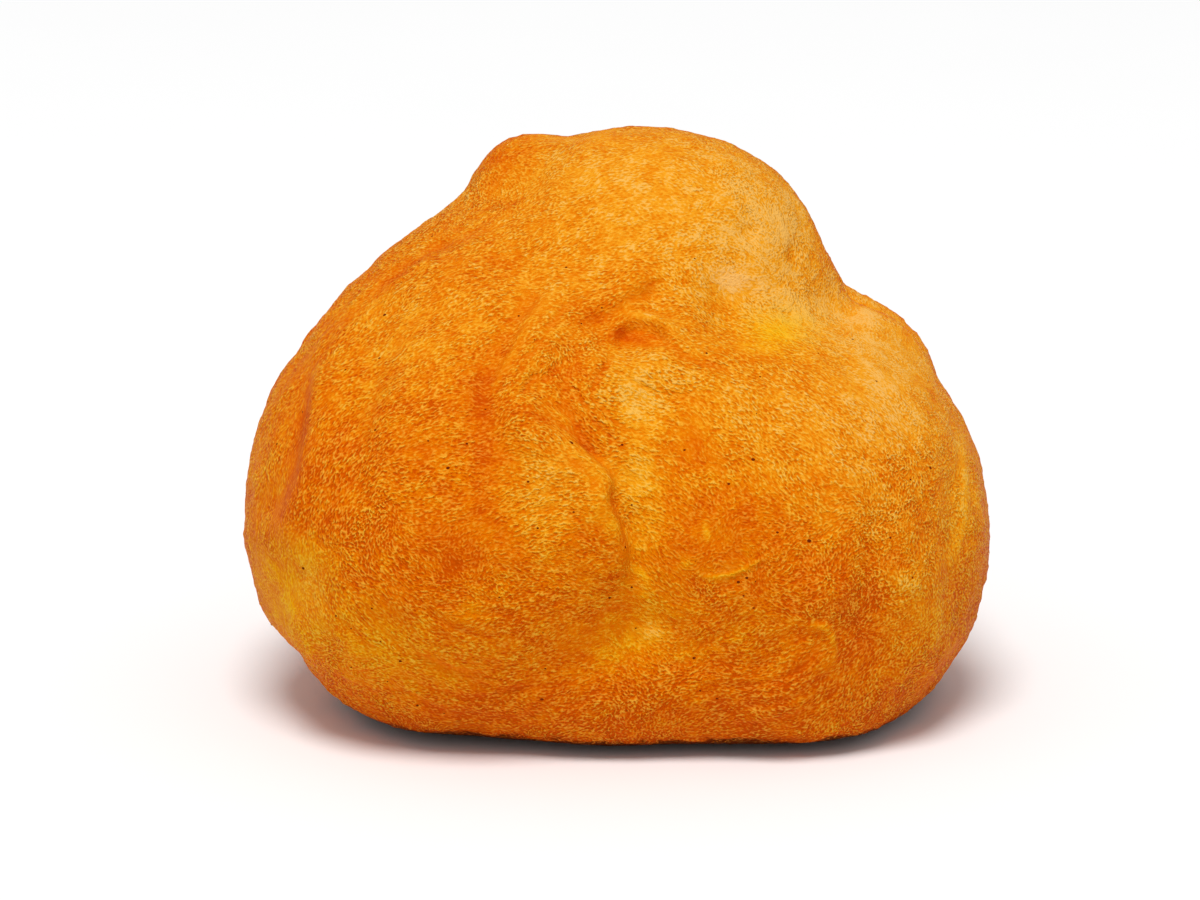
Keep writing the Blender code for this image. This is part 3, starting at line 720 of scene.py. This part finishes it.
def crinkle_tree():
    """Raises streaks of crinkle along the stored ways, and keeps how high each point was raised."""
    tree, given = new_tree("Crinkled crust", {
        "Crinkle Width": "NodeSocketFloat",
        "Crinkle Length": "NodeSocketFloat",
        "Crinkle Height": "NodeSocketFloat",
        "Seed": "NodeSocketFloat",
        "Material": "NodeSocketMaterial",
    })
    place = add(tree, "GeometryNodeInputPosition").outputs[0]
    way = attribute(tree, "stretch_way", vector=True)
    width, length = given["Crinkle Width"], given["Crinkle Length"]
    streak = crinkles(tree, place, way, width, length, given["Seed"], STREAK_SAMPLES)
    centred = math_of(tree, "SUBTRACT", streak, 0.5)
    amount = math_of(tree, "MULTIPLY", given["Crinkle Height"], attribute(tree, "crinkled"))
    rise = math_of(tree, "MULTIPLY", centred, amount)
    offset = scaled(tree, add(tree, "GeometryNodeInputNormal").outputs[0], rise)
    stored = add(
        tree, "GeometryNodeStoreNamedAttribute",
        {"Geometry": given["Geometry"], "Name": "streak", "Value": streak},
        data_type="FLOAT", domain="POINT",
    )
    raised = add(tree, "GeometryNodeSetPosition", {"Geometry": stored.outputs[0], "Offset": offset})
    close_tree(tree, raised.outputs[0], given["Material"])
    return tree


def pinprick_tree():
    """Sets a small flattened speck at each point, turned to the stored outward direction."""
    tree, given = new_tree("Pinpricks", {
        "Narrowness": "NodeSocketFloat",
        "Flatness": "NodeSocketFloat",
        "Material": "NodeSocketMaterial",
    })
    speck = add(tree, "GeometryNodeMeshIcoSphere", {"Radius": 0.5, "Subdivisions": 2}).outputs[0]
    flat = add(tree, "ShaderNodeCombineXYZ", {"X": 1.0, "Y": given["Narrowness"], "Z": given["Flatness"]})
    low = add(tree, "GeometryNodeTransform", {"Geometry": speck, "Scale": flat.outputs[0]}).outputs[0]
    outward = attribute(tree, "outward", vector=True)
    turned = add(tree, "FunctionNodeAlignRotationToVector", {"Vector": outward})
    placed = add(tree, "GeometryNodeInstanceOnPoints", {
        "Points": given["Geometry"],
        "Instance": low,
        "Rotation": turned.outputs[0],
        "Scale": attribute(tree, "wide"),
    })
    close_tree(tree, placed.outputs[0], given["Material"])
    return tree


# ---------------------------------------------------------------- finishes
def new_finish(name, roughness, gloss=0.0):
    """A material with a plain surface, its tree, its surface node and Object coordinates."""
    material = bpy.data.materials.new(name)
    material.use_nodes = True
    tree = material.node_tree
    surface = tree.nodes["Principled BSDF"]
    surface.inputs["Roughness"].default_value = roughness
    surface.inputs["Specular IOR Level"].default_value = gloss
    return material, tree, surface, add(tree, "ShaderNodeTexCoord").outputs["Object"]


def fine_lines(tree):
    """How deep in a crease's fine line a place is: 1 in the middle of a deep one, below 0 on its lip."""
    gaps, strengths = (
        add(tree, "ShaderNodeSeparateXYZ", {"Vector": shader_attribute(tree, name, "Vector")}).outputs
        for name in ("crease_gap", "crease_line")
    )
    total = 0.0
    for gap, strength in zip(gaps, strengths):
        off_lip = math_of(tree, "DIVIDE", math_of(tree, "SUBTRACT", gap, LIP_AT), LIP_WIDE)
        lip = math_of(tree, "MULTIPLY", hump(tree, off_lip), -LIP_HIGH)
        profile = math_of(tree, "ADD", hump(tree, gap), lip)
        total = math_of(tree, "MULTIPLY_ADD", profile, strength, total)
    return total


def hump(tree, value):
    """1 where the value is 0, and falling off to both sides."""
    return math_of(tree, "EXPONENT", product(tree, value, value, -1.0))


def shader_attribute(tree, name, output="Fac"):
    """A value stored for each point of the mesh, read in a material."""
    return add(tree, "ShaderNodeAttribute", attribute_name=name).outputs[output]


def crust_finish(colours, sizes):
    """Baked crust: from pale yellow to brown by how toasted it is, with painted shade in the creases and
    painted highlights on the finest crests, mottled and finely crinkled.
    """
    material, tree, surface, place = new_finish("baked_crust", colours.roughness, colours.gloss)
    surface.inputs["Specular Tint"].default_value = (*colours.shine, 1.0)
    way = shader_attribute(tree, "stretch_way", "Vector")
    high = crinkles(tree, place, way, sizes.grain_width, sizes.grain_length, GRAIN_SEED, GRAIN_SAMPLES)
    mottle = noise_of(tree, place, MOTTLE_WIDE, detail=3.0)
    lines = fine_lines(tree)
    patchy = rescaled(tree, noise_of(tree, place, PATCHES_WIDE), PATCHY_FROM, PATCHY_AT, LEAST_GRAIN)
    streak = shader_attribute(tree, "streak")
    clumped = math_of(tree, "MULTIPLY_ADD", streak, 1 - SMOOTH_BETWEEN, SMOOTH_BETWEEN)
    crinkled = product(tree, shader_attribute(tree, "crinkled"), patchy, clumped)

    total = shader_attribute(tree, "toast_and_shading")
    # Crinkles are paler than their gaps: partly the crust's own tone, partly painted light and shade.
    for value, middle, contrast in (
        (streak, 0.5, colours.streak_contrast),
        (mottle, 0.5, colours.mottle_contrast),
        # the finest crease lines darker, painted shade, and their lips paler, a painted highlight
        (lines, 0.0, -colours.line_shade_contrast),
    ):
        sunk = math_of(tree, "SUBTRACT", middle, value)
        total = math_of(tree, "MULTIPLY_ADD", sunk, contrast, total)
    # The fine grain's gaps deeper and its crests paler: partly its own tone, partly painted shade and light
    # of its relief.
    sunk = math_of(tree, "MULTIPLY", math_of(tree, "SUBTRACT", 0.5, high), crinkled)
    grained = math_of(tree, "MULTIPLY_ADD", sunk, colours.grain_contrast, total)
    total = math_of(tree, "MINIMUM", grained, math_of(tree, "MAXIMUM", total, GRAIN_BROWNEST))
    ramp = add(tree, "ShaderNodeValToRGB", {"Fac": total})
    stops = ramp.color_ramp.elements
    while len(stops) < len(TOAST_STOPS):
        stops.new(0.5)
    for stop, (colour, where) in zip(stops, TOAST_STOPS.items()):
        stop.position = where
        stop.color = (*getattr(colours, colour), 1.0)
    # Only the blue is multiplied: with less of it, cream turns yellow.
    creamy_with_sheen = add(tree, "ShaderNodeCombineXYZ", {"X": 1.0, "Y": 1.0, "Z": shader_attribute(tree, "creamy_with_sheen")})
    creamed = vector_of(tree, "MULTIPLY", ramp.outputs[0], creamy_with_sheen.outputs[0])
    # Painted highlight: the crests of the finest crinkles are mixed towards a paler peach.
    crest = rescaled(tree, high, HIGHLIGHT_FROM, HIGHLIGHT_AT, interpolation_type="SMOOTHSTEP")
    highlit = product(tree, crest, crinkled, colours.crest_highlight_share)
    mixed = add(
        tree, "ShaderNodeMix", {"Factor": highlit, "A": creamed, "B": (*colours.crest_highlight, 1.0)}, data_type="RGBA"
    )
    tree.links.new(mixed.outputs["Result"], surface.inputs["Base Color"])

    relief = math_of(tree, "MULTIPLY", high, crinkled)
    pores = noise_of(tree, place, PORES_WIDE, detail=1.0)
    below = {}
    for height, depth, sunk in (
        (relief, sizes.grain_height, False), (lines, sizes.line_depth, True), (pores, PORE_DEPTH, False),
    ):
        sockets = {"Height": height, "Distance": depth, "Strength": 1.0, **below}
        below = {"Normal": add(tree, "ShaderNodeBump", sockets, invert=sunk).outputs[0]}
    tree.links.new(below["Normal"], surface.inputs["Normal"])
    return material


def pinprick_finish(colours):
    """Burnt specks, nearly black brown."""
    material, tree, surface, place = new_finish("pinprick_brown", roughness=0.8)
    ramp = add(tree, "ShaderNodeValToRGB", {"Fac": noise_of(tree, place, SPECKS_WIDE)})
    ramp.color_ramp.elements[0].color = (*colours.pinprick, 1.0)
    ramp.color_ramp.elements[1].color = (*(2 * value for value in colours.pinprick), 1.0)
    tree.links.new(ramp.outputs[0], surface.inputs["Base Color"])
    return material


def floor_finish(brightness):
    """White paper, with the faintest mottle."""
    material, tree, surface, place = new_finish("floor_white", roughness=0.9)
    noise = noise_of(tree, place, FLOOR_MOTTLE_WIDE)
    shade = rescaled(tree, noise, 0.0, 1.0, brightness - FLOOR_MOTTLE, brightness)
    tree.links.new(shade, surface.inputs["Base Color"])
    return material


# ---------------------------------------------------------------- settings
def length_of(label, description, default):
    """A property that holds a small length in metres."""
    return FloatProperty(
        name=label, description=description, default=default, precision=6, subtype="DISTANCE", unit="LENGTH"
    )


def colour_of(label, description, default):
    """A property that holds a colour."""
    return FloatVectorProperty(
        name=label, description=description, default=default, subtype="COLOR", size=3, min=0.0, max=1.0
    )


def share_of(label, description, default):
    """A property that holds a share from 0 to 1."""
    return FloatProperty(
        name=label, description=description, default=default, min=0.0, max=1.0, subtype="FACTOR"
    )


class BunSizes(bpy.types.PropertyGroup):
    """Sizes of the crust's fine shapes"""

    patch_quads: IntProperty(
        name="Patch Quads", description="Quads along a side of each of the six patches of the crust",
        default=128, min=16, max=128,
    )
    crinkle_width: length_of("Crinkle Width", "Width of the crinkles raised in the crust", 0.55 * MM)
    crinkle_length: length_of("Crinkle Length", "Length of the crinkles raised in the crust", 1.80 * MM)
    crinkle_height: length_of("Crinkle Height", "Height of the crinkles raised in the crust", 0.20 * MM)
    grain_width: length_of("Grain Width", "Width of the fine grain on the crinkles", 0.20 * MM)
    grain_length: length_of("Grain Length", "Length of the fine grain on the crinkles", 0.24 * MM)
    grain_height: length_of("Grain Height", "Height of the fine grain on the crinkles", 0.19 * MM)
    line_depth: length_of("Line Depth", "Depth of the fine line along a deep crease", 0.14 * MM)
    pinprick_count: IntProperty(
        name="Pinpricks", description="Scattered pinpricks all over the crust", default=90, min=0, max=2000
    )
    pinprick_size: length_of("Pinprick Size", "Largest width of a scattered pinprick", 0.24 * MM)
    seed: IntProperty(name="Seed", description="Changes the crinkles and the scatter of pinpricks", default=5)


class BunColours(bpy.types.PropertyGroup):
    """Colours of the crust from pale to dark, and how it shines"""

    cream: colour_of("Cream", "The palest hollows", (0.82, 0.43, 0.080))
    yellow: colour_of("Yellow", "Pale crust", (0.80, 0.33, 0.012))
    golden: colour_of("Golden", "Lightly toasted crust", (0.73, 0.20, 0.0020))
    orange: colour_of("Orange", "Toasted crust", (0.67, 0.128, 0.0005))
    brown: colour_of("Brown", "Well toasted crust", (0.56, 0.072, 0.0003))
    dark: colour_of("Dark", "The edge of the base", (0.13, 0.016, 0.0003))
    # A painted highlight: paler peach on the crests of the finest crinkles.
    crest_highlight: colour_of("Ridge", "The dry crests of the finest crinkles", (0.84, 0.42, 0.060))
    shine: colour_of("Shine", "What the crust shines with", (1.0, 0.65, 0.06))
    pinprick: colour_of("Pinprick", "Burnt pinpricks", (0.11, 0.014, 0.002))
    streak_contrast: share_of("Crinkle Contrast", "How much paler crinkles are than the gaps", 0.20)
    grain_contrast: share_of("Grain Contrast", "How much paler the fine grain is than its gaps", 0.95)
    mottle_contrast: share_of("Mottle Contrast", "How uneven the toasting is from place to place", 0.55)
    # Darker colour along the finest crease lines is painted shade, and paler on their lips a painted
    # highlight.
    line_shade_contrast: share_of("Line Contrast", "How much more toasted the finest lines are", 0.25)
    crest_highlight_share: share_of("Ridge Share", "How much of the ridge colour the finest crests take", 0.60)
    roughness: share_of("Roughness", "How matt the crust is", 0.50)
    gloss: share_of("Gloss", "How strongly the crust shines", 0.02)


class BunStudio(bpy.types.PropertyGroup):
    """Floor, light and camera"""

    floor_brightness: share_of("Floor Brightness", "Share of the light that the floor gives back", 0.92)
    sky_strength: FloatProperty(name="Sky", description="Light from all round", default=0.49)
    key_power: FloatProperty(
        name="Key Light", description="Power of the soft light above", default=100.0, unit="POWER"
    )
    lens: FloatProperty(name="Lens", description="Focal length of the camera", default=150.0, unit="CAMERA")


# ---------------------------------------------------------------- operators
FLOOR_REACH = 2.0  # m from the middle to each side
LAMP_WIDE, LAMP_AT, LIT_AT = 1.6, (-0.20, -1.40, 3.40), Vector((0.0, 0.0, 0.025))  # m
FILM_WIDE = 36.0  # mm
NEAREST = 0.01  # m in front of the camera, what shows first


def set_piece(name, data):
    """A new object in the scene with that mesh, lamp or camera."""
    piece = bpy.data.objects.new(name, data)
    bpy.context.scene.collection.objects.link(piece)
    return piece


class BUN_OT_crust(bpy.types.Operator):
    """Lay the fine crust on the bun's solid, carve it and raise its crinkles"""

    bl_idname = "bun.crust"
    bl_label = "Crust"

    def execute(self, context):
        sizes, colours = context.scene.bun_sizes, context.scene.bun_colours
        mesh, directions = fine_ball(sizes.patch_quads)
        edges = read(mesh.edges, "vertices", 2).astype(int)
        points = relaxed(laid_on_frame(directions), edges, RELAX_ROUNDS)
        normals = shaped(mesh, points)
        hollow = ((relaxed(points, edges, BROAD_ROUNDS) - points) * normals).sum(1)
        gaps = beside_creases(points, normals)
        move, marks, crinkled = carved(points, normals, gaps)
        above_base = ease(points[:, 2], BASE_BELOW, FADE_BELOW)
        toast_and_shading = toasting_and_shading(points, normals, hollow, marks)
        points = points + normals * (move * above_base)[:, None]
        points[:, 2] = np.maximum(points[:, 2], 0.0)
        normals = shaped(mesh, points)
        gap, strength = drawn_lines(gaps)
        for name, values in {
            "toast_and_shading": toast_and_shading,
            "creamy_with_sheen": cream_and_sheen(points, normals),
            "crinkled": crinkled * above_base,
            "stretch_way": stretch_ways(points, normals),
            "crease_gap": gap,
            "crease_line": strength,
        }.items():
            keep(mesh, name, values)
        mesh.shade_smooth()
        crust = baked(set_piece("crust", mesh), crinkle_tree(), {
            "Crinkle Width": sizes.crinkle_width,
            "Crinkle Length": sizes.crinkle_length,
            "Crinkle Height": sizes.crinkle_height,
            "Seed": float(sizes.seed),
            "Material": crust_finish(colours, sizes),
        })
        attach(crust, "root")
        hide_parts(NODE)
        return {"FINISHED"}


class BUN_OT_pinpricks(bpy.types.Operator):
    """Set burnt pinpricks in the crust, those that show at the front and a scatter all over"""

    bl_idname = "bun.pinpricks"
    bl_label = "Pinpricks"

    def execute(self, context):
        crust = bpy.data.objects.get("crust")
        if crust is None:
            raise RuntimeError("make the crust before its pinpricks")
        sizes, colours = context.scene.bun_sizes, context.scene.bun_colours
        graph = context.evaluated_depsgraph_get()
        skin = BVHTree.FromObject(crust, graph)
        place, right, up, _ = eye(FRONT)
        points, outward, wide = [], [], []
        for across, high, size in PINPRICKS:
            way = np.array(LOOKED_AT) + right * across + up * high - place
            hit, normal, _, _ = skin.ray_cast(Vector(place * MM), Vector(way))
            if hit is not None:
                points.append(hit)
                outward.append(normal)
                wide.append(size * MM)
        draw = np.random.default_rng(sizes.seed)
        vertices = crust.data.vertices
        while len(points) < len(PINPRICKS) + sizes.pinprick_count:
            one = vertices[int(draw.integers(len(vertices)))]
            if one.co.z > FADE_BELOW * MM:
                points.append(one.co.copy())
                outward.append(one.normal.copy())
                wide.append(sizes.pinprick_size * draw.uniform(SMALLEST_PINPRICK, 1.0))
        mesh = bpy.data.meshes.new("pinpricks")
        mesh.from_pydata(points, [], [])
        keep(mesh, "outward", np.array(outward))
        keep(mesh, "wide", np.array(wide))
        pinpricks = baked(set_piece("pinpricks", mesh), pinprick_tree(), {
            "Narrowness": PINPRICK_NARROWNESS,
            "Flatness": PINPRICK_FLATNESS,
            "Material": pinprick_finish(colours),
        })
        pinpricks.data.shade_smooth()
        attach(pinpricks, "root")
        return {"FINISHED"}


class BUN_OT_studio(bpy.types.Operator):
    """Set up the floor, the soft light and the camera"""

    bl_idname = "bun.studio"
    bl_label = "Studio"

    def execute(self, context):
        studio = context.scene.bun_studio
        mesh = bpy.data.meshes.new("floor")
        corners = [(-1, -1), (1, -1), (1, 1), (-1, 1)]
        mesh.from_pydata([(x * FLOOR_REACH, y * FLOOR_REACH, 0.0) for x, y in corners], [], [(0, 1, 2, 3)])
        mesh.materials.append(floor_finish(studio.floor_brightness))
        set_piece("floor", mesh)

        world = bpy.data.worlds.new("studio")
        world.use_nodes = True
        background = world.node_tree.nodes["Background"]
        background.inputs["Color"].default_value = (1.0, 1.0, 1.0, 1.0)
        background.inputs["Strength"].default_value = studio.sky_strength
        context.scene.world = world

        lamp = bpy.data.lights.new("key", "AREA")
        lamp.shape = "DISK"
        lamp.size = LAMP_WIDE
        lamp.energy = studio.key_power
        key = set_piece("key", lamp)
        key.location = LAMP_AT
        key.rotation_euler = (LIT_AT - key.location).to_track_quat("-Z", "Y").to_euler()

        place, _, _, ahead = eye(FRONT)
        camera = set_piece("camera", bpy.data.cameras.new("camera"))
        camera.data.lens = studio.lens
        camera.data.sensor_width = FILM_WIDE
        camera.data.clip_start = NEAREST
        camera.location = place * MM
        camera.rotation_euler = Vector(ahead).to_track_quat("-Z", "Y").to_euler()
        context.scene.camera = camera
        context.scene.view_settings.view_transform = "Standard"
        return {"FINISHED"}


class BUN_PT_panel(bpy.types.Panel):
    """Lists the bun's settings and the operators that make it"""

    bl_idname = "BUN_PT_panel"
    bl_label = "Choux Bun"
    bl_space_type = "VIEW_3D"
    bl_region_type = "UI"
    bl_category = "Choux Bun"

    def draw(self, context):
        for group, kind in GROUPS.items():
            box = self.layout.box()
            for name in kind.__annotations__:
                box.prop(getattr(context.scene, group), name)
        for operator in (BUN_OT_crust, BUN_OT_pinpricks, BUN_OT_studio):
            self.layout.operator(operator.bl_idname)


CLASSES = (BunSizes, BunColours, BunStudio, BUN_OT_crust, BUN_OT_pinpricks, BUN_OT_studio, BUN_PT_panel)
GROUPS = {"bun_sizes": BunSizes, "bun_colours": BunColours, "bun_studio": BunStudio}


def register():
    for item in CLASSES:
        bpy.utils.register_class(item)
    for name, group in GROUPS.items():
        setattr(bpy.types.Scene, name, PointerProperty(type=group))


def unregister():
    for name in GROUPS:
        delattr(bpy.types.Scene, name)
    for item in reversed(CLASSES):
        bpy.utils.unregister_class(item)


def main():
    register()
    bpy.ops.bun.crust()
    bpy.ops.bun.pinpricks()
    bpy.ops.bun.studio()


if __name__ == "__main__":
    main()
